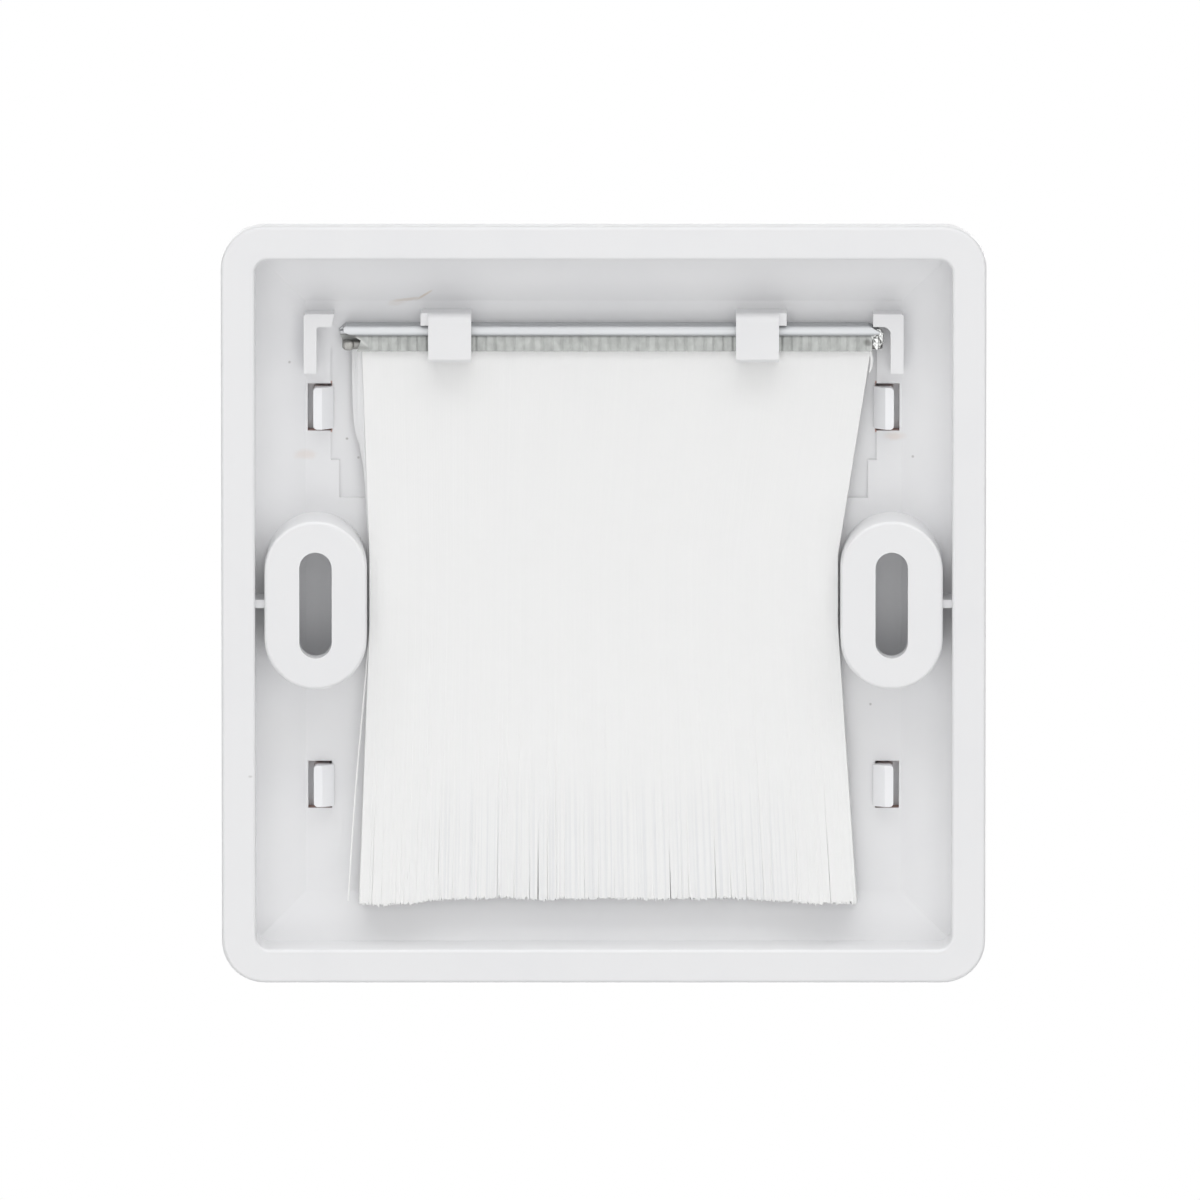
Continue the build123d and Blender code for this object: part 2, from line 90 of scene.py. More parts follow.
# %% A socket that can be added and multiplied
class Flow:
    """One output socket; arithmetic on it adds Math nodes to its tree."""

    def __init__(self, tree, socket=None):
        self.tree = tree
        self.socket = socket

    def node(self, kind, settings=None, sockets=None, out=0):
        """A new node: its settings are set first, then the values or links of its sockets."""
        made = self.tree.nodes.new(kind)
        for name, value in (settings or {}).items():
            setattr(made, name, value)
        for name, value in (sockets or {}).items():
            if isinstance(value, Flow):
                self.tree.links.new(value.socket, made.inputs[name])
            else:
                made.inputs[name].default_value = value
        return Flow(self.tree, made.outputs[out])

    def math(self, operation, *values):
        numbers = dict(enumerate((self, *values)))
        return self.node("ShaderNodeMath", {"operation": operation}, numbers)

    def __add__(self, other):
        return self.math("ADD", other)

    def __sub__(self, other):
        return self.math("SUBTRACT", other)

    def __mul__(self, other):
        return self.math("MULTIPLY", other)

    def __truediv__(self, other):
        return self.math("DIVIDE", other)

    def __radd__(self, other):
        return self.math("ADD", other)

    def __rmul__(self, other):
        return self.math("MULTIPLY", other)

    def __rsub__(self, other):
        return self.node("ShaderNodeMath", {"operation": "SUBTRACT"}, {0: other, 1: self})

    def step(self, low, high):
        """Rises smoothly from 0 at low to 1 at high."""
        numbers = {"Value": self, "From Min": low, "From Max": high}
        return self.node("ShaderNodeMapRange", {"interpolation_type": "SMOOTHSTEP"}, numbers)

# %% [markdown]
# ## Finishes and where they sit
#
# Each finish starts from the place of a point on the object, in metres. Object coordinates stay with the piece
# from every side, and they are the same as the CAD coordinates, so a stain can be put at a known X and Z.
# A colour is mixed with a Mix node, because a Math node would turn it grey. The Mix node keeps sockets for other
# kinds of value, so its colours are numbers 6 and 7, and its mixed colour is number 2.

# %% Starting a finish
OBJECT_PLACE = 3
MM_PER_METRE = 1000.0


def new_finish(name):
    """An empty material, the start of its tree, and the place of a point in metres."""
    material = bpy.data.materials.new(name)
    material.use_nodes = True
    material.node_tree.nodes.clear()
    start = Flow(material.node_tree)
    return material, start, start.node("ShaderNodeTexCoord", out=OBJECT_PLACE)


def in_millimetres(place):
    """The X, Y and Z of a place, each as a socket of its own."""
    split = place.node("ShaderNodeSeparateXYZ", sockets={0: place}).socket.node
    return [Flow(place.tree, socket) * MM_PER_METRE for socket in split.outputs]


def blend(under, over, amount):
    """Lays one colour over another; each is a colour or a socket."""
    return amount.node("ShaderNodeMix", {"data_type": "RGBA"}, {0: amount, 6: under, 7: over}, out=2)


def grain(place, scale, detail=2.0, rough=0.5, stretch=(1, 1, 1)):
    """Noise from 0 to 1, its scale in waves per metre, drawn out along the small numbers of stretch."""
    spread = place.node("ShaderNodeVectorMath", {"operation": "MULTIPLY"}, {0: place, 1: stretch})
    sizes = {"Vector": spread, "Scale": scale, "Detail": detail, "Roughness": rough}
    return place.node("ShaderNodeTexNoise", sockets=sizes)


def finish_off(material, start, colour, roughness, height, bump_mm, **constants):
    """Puts the shader and its output behind the colour, roughness and height."""
    relief = {"Strength": 1.0, "Distance": bump_mm * MM, "Height": height}
    normal = start.node("ShaderNodeBump", sockets=relief)
    sockets = {"Base Color": colour, "Roughness": roughness, "Normal": normal}
    sockets.update({name.replace("_", " "): value for name, value in constants.items()})
    surface = start.node("ShaderNodeBsdfPrincipled", sockets=sockets)
    output = start.tree.nodes.new("ShaderNodeOutputMaterial")
    start.tree.links.new(surface.socket, output.inputs["Surface"])
    print("finish", material.name, "has", len(start.tree.nodes), "nodes")
    return material


def dress(node, finish):
    """Gives a piece of the frame its finish in place of the plain one it came with."""
    nodes[node].data.materials.clear()
    nodes[node].data.materials.append(finish)

# %% [markdown]
# ## The frame's white plastic
#
# The frame is satin white plastic from a polished mould. Up close it is faintly cloudy, with a very fine grain.
# It has been handled: the photo shows a soft brown streak over the bevel above the brush, a reddish tint at the cut
# edges of three of the snap holes, and six faint specks. Each mark is an ellipse in X and Z, turned if need be,
# whose edge is broken up by noise. They are thin, so they tint the plastic and don't hide it. Three things here are
# less true than the rest: the stain is laid on all four holes alike, the specks are darker than in the photo, and
# the last but one lies 2 mm too high. The trench behind the channel is dark from shadow alone, so its colour stays
# that of the rest.

# %% Marks on the plastic
MARK_FADE = (0.4, 1.6)


def mark(x, z, rough_edge, place_x, place_z, half_w, half_h, turn=0.0, ragged=1.2):
    """Ragged ellipse centred on a place in mm and turned by some degrees: 1 inside, 0 outside."""
    angle = math.radians(turn)
    right = (x - place_x) * math.cos(angle) + (z - place_z) * math.sin(angle)
    up = (z - place_z) * math.cos(angle) - (x - place_x) * math.sin(angle)
    across = right / half_w
    along = up / half_h
    reach = (across * across + along * along).math("SQRT") + (rough_edge - 0.5) * ragged
    return 1.0 - reach.step(*MARK_FADE)


def all_marks(x, z, rough_edge, places):
    """Several marks at once; where they meet the stronger one counts."""
    total = None
    for strength, *where in places:
        one = mark(x, z, rough_edge, *where) * strength
        total = one if total is None else total.math("MAXIMUM", one)
    return total


BROWN_STREAK = [
    (0.48, 18.8, 31.85, 0.85, 0.11, -32.0),
    (0.34, 20.5, 31.40, 1.35, 0.16, -7.0),
    (0.14, 21.6, 31.10, 0.90, 0.30, -10.0),
]
FAINT_TINGE = [
    (0.16, -30.4, 16.9, 0.9, 0.4),
    (0.13, 31.2, 15.0, 1.0, 0.5),
]
DARK_SPECKS = [
    (0.50, 32.9, 24.8, 0.13, 0.13),
    (0.45, -32.4, 14.8, 0.12, 0.12),
    (0.55, 26.9, 16.6, 0.14, 0.12),
    (0.45, 25.7, 14.6, 0.12, 0.12),
    (0.50, -28.0, -11.5, 0.12, 0.12),
    (0.30, 37.0, -18.1, 0.22, 0.12),
]
HOLE_X = 29.75
HOLE_PITCH = 40.0
STAIN_DEPTH = (-7.30, -7.12)
STAIN_STARTS = (1.9, 2.35)
STAIN_ENDS = (2.6, 2.8)
STAIN_HALF_W = (1.27, 1.36)


def hole_edges(x, y, z):
    """1 on the cut walls near the top and bottom of the four snap holes, 0 elsewhere."""
    beside = (x.math("ABSOLUTE") - HOLE_X).math("ABSOLUTE")
    rise = (z.math("ABSOLUTE") - HOLE_PITCH / 2).math("ABSOLUTE")
    sunk = 1.0 - y.step(*STAIN_DEPTH)
    near = rise.step(*STAIN_STARTS) * (1.0 - rise.step(*STAIN_ENDS))
    return sunk * near * (1.0 - beside.step(*STAIN_HALF_W))

# %% [markdown]
# The marks are laid over the white one after another, the dark specks last. The streak and the tinges are kept off
# the rim, where the photo shows neither. A second way would be a painted picture wrapped round the frame, but a sum
# of marks stays sharp from any distance.

# %% Finish of the frame
STREAK_BROWN = (0.52, 0.40, 0.27, 1.0)
TINGE_ORANGE = (0.62, 0.33, 0.14, 1.0)
STAIN_RED_BROWN = (0.46, 0.17, 0.10, 1.0)
SPECK_GREY = (0.25, 0.23, 0.21, 1.0)
BEHIND_RIM = (-1.2, -0.3)


def frame_plastic():
    material, start, place = new_finish("frame_plastic")
    x, y, z = in_millimetres(place)
    cloud = grain(place, 90.0, 3.0)
    ragged = grain(place, 900.0, 3.0, 0.6)
    fine = grain(place, 5200.0, 2.0)
    white = (0.802, 0.803, 0.812, 1.0)
    shade = (0.784, 0.786, 0.798, 1.0)
    colour = blend(shade, white, cloud.step(0.3, 0.6))
    inside = 1.0 - y.step(*BEHIND_RIM)
    colour = blend(colour, STREAK_BROWN, all_marks(x, z, ragged, BROWN_STREAK) * inside)
    colour = blend(colour, TINGE_ORANGE, all_marks(x, z, ragged, FAINT_TINGE) * inside)
    colour = blend(colour, STAIN_RED_BROWN, hole_edges(x, y, z) * (0.5 + 0.5 * ragged))
    colour = blend(colour, SPECK_GREY, all_marks(x, z, ragged, DARK_SPECKS))
    roughness = 0.34 + 0.10 * cloud + 0.05 * fine
    height = 0.75 * cloud + 0.25 * fine
    return finish_off(material, start, colour, roughness, height, 0.012, IOR=1.5)


dress("back_frame", frame_plastic())

# %% [markdown]
# ## The cover's white plastic
#
# The cover is the part that shows in the room. From this side only its four claws and the dark inside behind the
# screw slots are seen. The claws look a little lighter and bluer than the frame. The cover's white is therefore set
# lighter and bluer than the frame's: partly its own white, and partly painted light that lifts the claws and turns
# the shade behind the slots blue. It has a slightly finer polish. Its hidden face is finished plainly, with no
# wear.

# %% Finish of the cover
# Partly the cover's own white, partly painted light: made lighter and bluer to brighten the claws and tint the
# shade behind the slots.
COVER_WHITE_WITH_PAINTED_LIGHT = (0.885, 0.888, 0.905, 1.0)
COVER_SHADE_WITH_PAINTED_LIGHT = (0.865, 0.870, 0.890, 1.0)


def cover_plastic():
    material, start, place = new_finish("cover_plastic")
    cloud = grain(place, 70.0, 3.0)
    fine = grain(place, 6000.0, 2.0)
    colour = blend(COVER_SHADE_WITH_PAINTED_LIGHT, COVER_WHITE_WITH_PAINTED_LIGHT, cloud.step(0.3, 0.6))
    roughness = 0.28 + 0.08 * cloud
    height = 0.8 * cloud + 0.2 * fine
    return finish_off(material, start, colour, roughness, height, 0.01, IOR=1.5)


dress("front_cover", cover_plastic())

# %% [markdown]
# ## The galvanised channel
#
# The strip brush is held in a folded steel strip. Its round spine stays bright from rolling, with faint streaks
# along its length. The flanks are squeezed in a crimping tool, which leaves them dull grey with a row of small
# upright marks. Height alone tells the two apart, so one finish serves the whole strip. A dark line of painted
# shade runs along the fold under the spine. The sheared ends get dark patches on both sides, and on one side a
# lighter patch where a flap is turned up, which is a painted highlight.

# %% Finish of the channel
low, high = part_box("brush_channel")
CHANNEL_TOP = high.z / MM
CHANNEL_LOW = low.z / MM
SPINE_HEIGHT = 1.2
BEAD_LOW = CHANNEL_TOP - SPINE_HEIGHT
# Painted highlight: a lighter patch where a flap at one sheared end is turned up and catches the light.
TURNED_FLAP_HIGHLIGHT = [(1.0, 25.5, 27.45, 0.9, 0.12, 39.0)]
# Dark patches at both sheared ends.
TORN_DARK_PATCHES = [
    (0.85, -28.35, 28.85, 0.85, 0.15, 33.0),
    (0.50, -27.65, 27.15, 0.42, 0.30, 20.0),
    (0.55, 26.2, 27.80, 0.30, 0.16),
    (0.30, 25.6, 26.60, 0.80, 0.20),
]
FLAP_HIGHLIGHT_GREY = (0.58, 0.58, 0.57, 1.0)
FOLD_PAINTED_SHADE = (0.10, 0.10, 0.095, 1.0)
TORN_DARK = (0.10, 0.095, 0.09, 1.0)


def channel_steel():
    material, start, place = new_finish("channel_steel")
    x, _, z = in_millimetres(place)
    streak = grain(place, 260.0, 4.0, 0.6, stretch=(0.06, 1.0, 4.0))
    spangle = grain(place, 1500.0, 3.0, 0.65)
    crimp = grain(place, 1100.0, 2.0, 0.55, stretch=(1.0, 0.2, 0.75))
    ragged = grain(place, 900.0, 3.0, 0.6)
    flank = 1.0 - z.step(BEAD_LOW - 0.10, BEAD_LOW + 0.06)
    # Painted shade: a dark line along the fold under the spine.
    painted_fold_shade = 1.0 - (z - BEAD_LOW + 0.03).math("ABSOLUTE").step(0.03, 0.14)
    bright = blend((0.42, 0.43, 0.44, 1.0), (0.48, 0.49, 0.50, 1.0), streak.step(0.35, 0.65))
    dull = blend((0.40, 0.41, 0.40, 1.0), (0.50, 0.51, 0.50, 1.0), crimp.step(0.25, 0.75))
    colour = blend(bright, dull, flank)
    # Painted highlight on the turned-up flap.
    colour = blend(colour, FLAP_HIGHLIGHT_GREY, all_marks(x, z, ragged, TURNED_FLAP_HIGHLIGHT) * 0.7)
    colour = blend(colour, FOLD_PAINTED_SHADE, painted_fold_shade * 0.42)
    colour = blend(colour, TORN_DARK, all_marks(x, z, ragged, TORN_DARK_PATCHES))
    roughness = 0.53 + 0.06 * streak + flank * (0.19 + 0.08 * spangle)
    height = 0.2 * streak + flank * (0.22 * crimp + 0.22 * spangle)
    return finish_off(material, start, colour, roughness, height, 0.05, Metallic=1.0)


dress("brush_channel", channel_steel())

# %% [markdown]
# ## The core wire
#
# The bristles are folded over a wire that runs inside the channel, and only its two short ends show. They look
# darker than the channel, and are taken to be drawn steel. Drawing leaves fine lines along a wire, so the noise is
# stretched along X.

# %% Finish of the wire
def wire_steel():
    material, start, place = new_finish("wire_steel")
    drawn = grain(place, 900.0, 3.0, 0.6, stretch=(0.08, 1.0, 1.0))
    colour = blend((0.22, 0.215, 0.205, 1.0), (0.34, 0.335, 0.325, 1.0), drawn.step(0.3, 0.7))
    return finish_off(material, start, colour, 0.50 + 0.2 * drawn, drawn, 0.02, Metallic=1.0)


dress("core_wire", wire_steel())

# %% [markdown]
# ## The bristles
#
# A strip brush is a few thousand nylon filaments, folded over a wire. They hang straight, squeeze in between the
# two screw bosses and spread again, and near their tips they gather in small tufts with gaps between. This
# follows a rule, so Geometry Nodes is the right tool: a point for each strand, one short line copied to every
# point, and a position worked out from the strand's number and the distance along it.

# %% Finish of the bristles
# The grey serves two things: the strands' own random variation, and painted shade on the gaps between tufts near
# the tips and on the fringe.
NYLON_WHITE = (0.935, 0.935, 0.93, 1.0)
NYLON_GREY_AND_SHADE = (0.77, 0.78, 0.805, 1.0)


def bristle_nylon():
    material, start, place = new_finish("bristle_nylon")
    tone_and_shade = start.node("ShaderNodeAttribute", {"attribute_name": "tone_and_shade"}, out=2)
    cloud = grain(place, 160.0, 2.0, 0.5, stretch=(1.0, 1.0, 0.1))
    amount = (tone_and_shade - 0.06 * cloud).math("MAXIMUM", 0.0)
    colour = blend(NYLON_GREY_AND_SHADE, NYLON_WHITE, amount)
    return finish_off(material, start, colour, 0.44, cloud, 0.004, IOR=1.5)


BRISTLE_FINISH = bristle_nylon()

# %% [markdown]
# Every size of the brush is an input of its tree, so one tree can grow both layers with different numbers. Lengths
# are in millimetres, and the neck's start and end are fractions of a strand's length. Left and right are those of
# the photo, where +X points left.

# %% Sizes of the brush
BRUSH_Y = -5.45
ROOT_Z = CHANNEL_LOW + 0.5
strand_sizes = {
    "Strands": 3600,
    "Layers": 3,
    "Points Along": 9,
    "Root Z": ROOT_Z,
    "Tip Z": -31.7,
    "Root Left": 25.3,
    "Root Right": -28.0,
    "Neck Left": 24.5,
    "Neck Right": -24.5,
    "Tip Left": 25.6,
    "Tip Right": -26.5,
    "Neck Start": 0.375,
    "Neck End": 0.5,
    "Middle Y": BRUSH_Y,
    "Root Depth": 0.48,
    "Tip Depth": 1.0,
    "Strand Radius": 0.12,
    "Tufts": 64,
    "Tuft Pull": 0.21,
    "Seed": 3,
}
print("strands on each side of the fold:", strand_sizes["Strands"])

# %% [markdown]
# The tree works in millimetres, and the last step scales it to metres. A strand's place across the brush is a
# fraction from 0 at one end to 1 at the other. Each edge of the brush is three straight runs: in to the neck, down
# between the two screw bosses, and out again to the tips. The neck starts and ends exactly at a point of each
# strand, so no straight piece of a strand cuts across the corner into a boss. A strand keeps its fraction between
# the two edges all the way down.

# %% Tree of strands
def strand_tree(sizes):
    tree = bpy.data.node_groups.new("brush_strands", "GeometryNodeTree")
    whole = {"Strands", "Layers", "Points Along", "Tufts", "Seed"}
    for name in sizes:
        kind = "NodeSocketInt" if name in whole else "NodeSocketFloat"
        tree.interface.new_socket(name, in_out="INPUT", socket_type=kind)
    tree.interface.new_socket("Side", in_out="INPUT", socket_type="NodeSocketFloat")
    tree.interface.new_socket("Brush", in_out="OUTPUT", socket_type="NodeSocketGeometry")
    start = Flow(tree)
    inputs = tree.nodes.new("NodeGroupInput")
    size = {socket.name: Flow(tree, socket) for socket in inputs.outputs if socket.name}

    points = start.node("GeometryNodePoints", sockets={"Count": size["Strands"]})
    line = start.node("GeometryNodeCurvePrimitiveLine", sockets={"End": (0.0, 0.0, -1.0)})
    line = start.node("GeometryNodeResampleCurve", sockets={"Curve": line, "Count": size["Points Along"]})
    copies = start.node("GeometryNodeInstanceOnPoints", sockets={"Points": points, "Instance": line})
    strands = start.node("GeometryNodeRealizeInstances", sockets={"Geometry": copies})

    number = start.node("GeometryNodeCurveOfPoint")
    along = start.node("GeometryNodeSplineParameter")

    def chance(low_end, high_end, offset, key=number):
        """A random number for each strand, or for each value of another key."""
        sockets = {2: low_end, 3: high_end, "ID": key, "Seed": size["Seed"] + offset}
        return start.node("FunctionNodeRandomValue", {"data_type": "FLOAT"}, sockets, out=1)

    def between(a, b, amount):
        return a + (b - a) * amount

    fraction = (number + chance(0.0, 1.0, 1)) / size["Strands"]
    middle = (fraction - 0.5).math("ABSOLUTE")
    to_neck = (along / size["Neck Start"]).math("MINIMUM", 1.0)
    past_neck = ((along - size["Neck End"]) / (1.0 - size["Neck End"])).math("MAXIMUM", 0.0)
    left = between(between(size["Root Left"], size["Neck Left"], to_neck), size["Tip Left"], past_neck)
    right = between(between(size["Root Right"], size["Neck Right"], to_neck), size["Tip Right"], past_neck)

    top_most = 1.0 - number.math("MODULO", size["Layers"]).math("MINIMUM", 1.0)
    layer = between(chance(0.05, 0.95, 7), chance(0.96, 1.0, 10), top_most)
    tuft = (fraction * size["Tufts"] + chance(-0.12, 0.12, 2)).math("FLOOR")
    tuft_centre = (tuft + 0.5 + chance(-0.3, 0.3, 3, tuft)) / size["Tufts"]
    loose = 1.0 - middle.step(0.33, 0.42)
    outer = layer.step(0.25, 0.95)
    gather = along.step(0.85, 0.93) * size["Tuft Pull"] * loose * outer * chance(0.0, 1.0, 4, tuft)
    place = between(fraction, tuft_centre, gather * chance(0.6, 1.0, 5))

    sway = chance(-0.08, 0.08, 6) * along * along
    x = between(right, left, place) + sway
    ends = middle.step(0.30, 0.42)
    thicker = 0.55 * ends * size["Side"].math("MAXIMUM", 0.0)
    depth = between(size["Root Depth"], size["Tip Depth"] + thicker, along)
    y = size["Middle Y"] + size["Side"] * depth * layer

    wave_line = start.node("ShaderNodeCombineXYZ", sockets={0: fraction * 9.0})
    wave = start.node("ShaderNodeTexNoise", sockets={"Vector": wave_line, "Scale": 1.0, "Detail": 3.0})
    comb_line = start.node("ShaderNodeCombineXYZ", sockets={0: fraction * 150.0, 1: size["Side"]})
    comb = start.node("ShaderNodeTexNoise", sockets={"Vector": comb_line, "Scale": 1.0, "Detail": 2.0})
    length_end = size["Tip Z"] - 0.45 * ends - (wave - 0.5) * 1.0 - (comb - 0.5) * 0.8 + chance(-0.16, 0.16, 8)
    z = between(size["Root Z"], length_end, along)

    sockets = {0: x, 1: y, 2: z}
    spot = start.node("ShaderNodeCombineXYZ", sockets=sockets)
    spot = start.node("ShaderNodeVectorMath", {"operation": "MULTIPLY"}, {0: spot, 1: (MM, MM, MM)})
    strands = start.node("GeometryNodeSetPosition", sockets={"Geometry": strands, "Position": spot})
    # Painted shade: near the tips, strands in the gaps between tufts are made greyer.
    streak = along.step(0.82, 0.88) * loose * comb.step(0.46, 0.60) * 0.42
    sockets = {"Geometry": strands, "Name": "tone_and_shade", "Value": chance(0.93, 1.0, 9) - streak}
    strands = start.node("GeometryNodeStoreNamedAttribute", sockets=sockets)
    facing = start.node("ShaderNodeCombineXYZ", sockets={1: size["Side"]})
    sockets = {"Curve": strands, "Normal": facing}
    strands = start.node("GeometryNodeSetCurveNormal", {"mode": "FREE"}, sockets)
    ring_sizes = {"Resolution": 3, "Radius": size["Strand Radius"] * MM}
    ring = start.node("GeometryNodeCurvePrimitiveCircle", sockets=ring_sizes)
    sockets = {"Curve": strands, "Profile Curve": ring, "Fill Caps": True}
    brush = start.node("GeometryNodeCurveToMesh", sockets=sockets)
    brush = start.node("GeometryNodeRealizeInstances", sockets={"Geometry": brush})
    brush = start.node("GeometryNodeSetMaterial", sockets={"Geometry": brush, "Material": BRISTLE_FINISH})
    output = tree.nodes.new("NodeGroupOutput")
    tree.links.new(brush.socket, output.inputs["Brush"])
    return tree

# %% [markdown]
# The fold over the wire makes two layers, one towards the wall and one towards the room. Each is grown as its own
# piece, turned into a plain mesh, and set on the plate's one body. Together they stand for the ridged block that
# the CAD model has in their place.

# %% Grow the bristles
def grow(name, tree, sizes):
    """Runs the tree once and keeps the result as a plain mesh."""
    holder = bpy.data.objects.new(name + "_holder", bpy.data.meshes.new(name + "_holder"))
    bpy.context.scene.collection.objects.link(holder)
    modifier = holder.modifiers.new("strands", "NODES")
    modifier.node_group = tree
    for item in tree.interface.items_tree:
        if item.in_out == "INPUT":
            modifier[item.identifier] = sizes[item.name]
    bpy.context.view_layer.update()
    grown = holder.evaluated_get(bpy.context.evaluated_depsgraph_get())
    mesh = bpy.data.meshes.new_from_object(grown)
    bpy.data.objects.remove(holder)
    mesh.name = name
    mesh.shade_smooth()
    piece = bpy.data.objects.new(name, mesh)
    bpy.context.scene.collection.objects.link(piece)
    triangles = sum(len(face.vertices) - 2 for face in mesh.polygons)
    print(name, "has", triangles, "triangles")
    return piece


tree = strand_tree(strand_sizes)
for name, side, seed in (("wall_side_bristles", 1.0, 3), ("room_side_bristles", -1.0, 40)):
    piece = grow(name, tree, {**strand_sizes, "Side": side, "Seed": seed})
    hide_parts("bristles")
    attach(piece, "root")

# %% [markdown]
# ## The packed middle
#
# Above their loose ends the filaments lie so close that no light gets between them, and the brush looks like one
# pale curtain. A smooth slab just under the outer strands gives that: it keeps the same edges as the strands and
# stops 8 mm above the tips, where the tufts begin to part.

# %% Packed middle of the brush
CORE_END_Z = -23.4
CORE_INSET = 0.2
CORE_COLUMNS = 60
CORE_ROWS = 26
CORE_UNDER = 0.05
CORE_THIN_END = 0.45


def brush_edge(root, neck, tip, along):
    """The same three-part edge that the strands follow."""
    start, end = strand_sizes["Neck Start"], strand_sizes["Neck End"]
    if along < start:
        return root + (neck - root) * along / start
    return neck + (tip - neck) * max(along - end, 0.0) / (1.0 - end)


def packed_middle():
    sizes = strand_sizes
    length = sizes["Root Z"] - sizes["Tip Z"]
    form = bmesh.new()
    sheets = {}
    for side in (-1, 1):
        for row in range(CORE_ROWS + 1):
            for column in range(CORE_COLUMNS + 1):
                fraction = column / CORE_COLUMNS
                end_z = CORE_END_Z + 0.5 * math.sin(23.0 * fraction) + 0.3 * math.sin(61.0 * fraction)
                z = sizes["Root Z"] + (end_z - sizes["Root Z"]) * row / CORE_ROWS
                along = (sizes["Root Z"] - z) / length
                left = brush_edge(sizes["Root Left"], sizes["Neck Left"], sizes["Tip Left"], along) - CORE_INSET
                right = brush_edge(sizes["Root Right"], sizes["Neck Right"], sizes["Tip Right"], along) + CORE_INSET
                depth = sizes["Root Depth"] + (sizes["Tip Depth"] - sizes["Root Depth"]) * along - CORE_UNDER
                depth *= CORE_THIN_END if row == CORE_ROWS else 1.0
                place = (right + (left - right) * fraction, BRUSH_Y + side * depth, z)
                sheets[side, row, column] = form.verts.new([v * MM for v in place])
    for side in (-1, 1):
        for row in range(CORE_ROWS):
            for column in range(CORE_COLUMNS):
                corners = ((row, column), (row, column + 1), (row + 1, column + 1), (row + 1, column))
                form.faces.new([sheets[side, r, c] for r, c in corners])
    border = [(0, c) for c in range(CORE_COLUMNS)] + [(r, CORE_COLUMNS) for r in range(CORE_ROWS)]
    border += [(CORE_ROWS, c) for c in range(CORE_COLUMNS, 0, -1)] + [(r, 0) for r in range(CORE_ROWS, 0, -1)]
    for here, after in zip(border, border[1:] + border[:1]):
        form.faces.new([sheets[-1, *here], sheets[-1, *after], sheets[1, *after], sheets[1, *here]])
    bmesh.ops.recalc_face_normals(form, faces=form.faces)
    mesh = bpy.data.meshes.new("packed_bristles")
    form.to_mesh(mesh)
    form.free()
    mesh.materials.append(BRISTLE_FINISH)
    tone_and_shade = mesh.attributes.new("tone_and_shade", "FLOAT", "POINT")
    tone_and_shade.data.foreach_set("value", [1.0] * len(mesh.vertices))
    piece = bpy.data.objects.new("packed_bristles", mesh)
    bpy.context.scene.collection.objects.link(piece)
    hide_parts("bristles")
    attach(piece, "root")
    print("packed middle ends at z", CORE_END_Z)


packed_middle()

# %% [markdown]
# ## Stray bristles
#
# A brush is never quite tidy. On one side a single bristle stands away from the rest down to its tip, and beside
# the channel a thin fringe hangs out and bends back into the brush; its strands are made greyer, which is painted
# shade. On the other side two short light ones bow out a little, where the photo's stands straight. They are thin
# smooth curves given a round section.

# %% Stray bristles
FRINGE_STRANDS = 22
FRINGE_START_X = 25.15
FRINGE_PITCH = 0.055
FRINGE_RADIUS = 0.07
# Painted shade: the fringe strands are made greyer than the rest.
FRINGE_SHADE_TONE = 0.70
STRAY_RADIUS = 0.10


def fringe_routes():
    """A row of close strands that leave the channel outside the brush and run back into it."""
    random.seed(5)
    routes = []
    for step in range(FRINGE_STRANDS):
        out = FRINGE_START_X + FRINGE_PITCH * step
        deep = -5.05 - 0.06 * step + random.uniform(-0.04, 0.04)
        end_z = 6.0 + 0.45 * step + random.uniform(-2.0, 2.0)
        middle_x = out - 0.1 - 0.012 * step + random.uniform(-0.05, 0.05)
        routes.append([(out, deep, 26.5), (out, deep, 22.0), (middle_x, deep, 16.0), (24.6, deep, end_z)])
    return routes


LONG_STRAY = [[(24.45, -4.7, -3.0), (25.3, -4.6, -12.0), (26.2, -4.5, -22.0), (26.8, -4.5, -32.0)]]
SHORT_STRAYS = [
    [(-27.9, -4.8, 26.4), (-28.05, -4.7, 25.4), (-28.0, -4.7, 24.6), (-27.85, -4.7, 24.0)],
    [(-28.0, -4.9, 26.2), (-28.15, -4.8, 25.4), (-28.1, -4.8, 24.8), (-28.0, -4.8, 24.3)],
]


def loose_strands(name, routes, radius, tone_value):
    """Smooth thin rods along routes in mm, as one plain mesh."""
    shape = bpy.data.curves.new(name, "CURVE")
    shape.dimensions = "3D"
    shape.bevel_depth = radius * MM
    shape.bevel_resolution = 1
    shape.use_fill_caps = True
    for route in routes:
        line = shape.splines.new("NURBS")
        line.points.add(len(route) - 1)
        for point, place in zip(line.points, route):
            point.co = (*(Vector(place) * MM), 1.0)
        line.order_u = 3
        line.use_endpoint_u = True
    holder = bpy.data.objects.new(name + "_holder", shape)
    bpy.context.scene.collection.objects.link(holder)
    bpy.context.view_layer.update()
    mesh = bpy.data.meshes.new_from_object(holder.evaluated_get(bpy.context.evaluated_depsgraph_get()))
    bpy.data.objects.remove(holder)
    mesh.shade_smooth()
    mesh.materials.clear()
    mesh.materials.append(BRISTLE_FINISH)
    tone_and_shade = mesh.attributes.new("tone_and_shade", "FLOAT", "POINT")
    tone_and_shade.data.foreach_set("value", [tone_value] * len(mesh.vertices))
    piece = bpy.data.objects.new(name, mesh)
    bpy.context.scene.collection.objects.link(piece)
    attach(piece, "root")
    print(name, "has", len(routes), "strands")


loose_strands("fringe_bristles", fringe_routes(), FRINGE_RADIUS, FRINGE_SHADE_TONE)
loose_strands("stray_bristles", LONG_STRAY + SHORT_STRAYS, STRAY_RADIUS, 1.0)

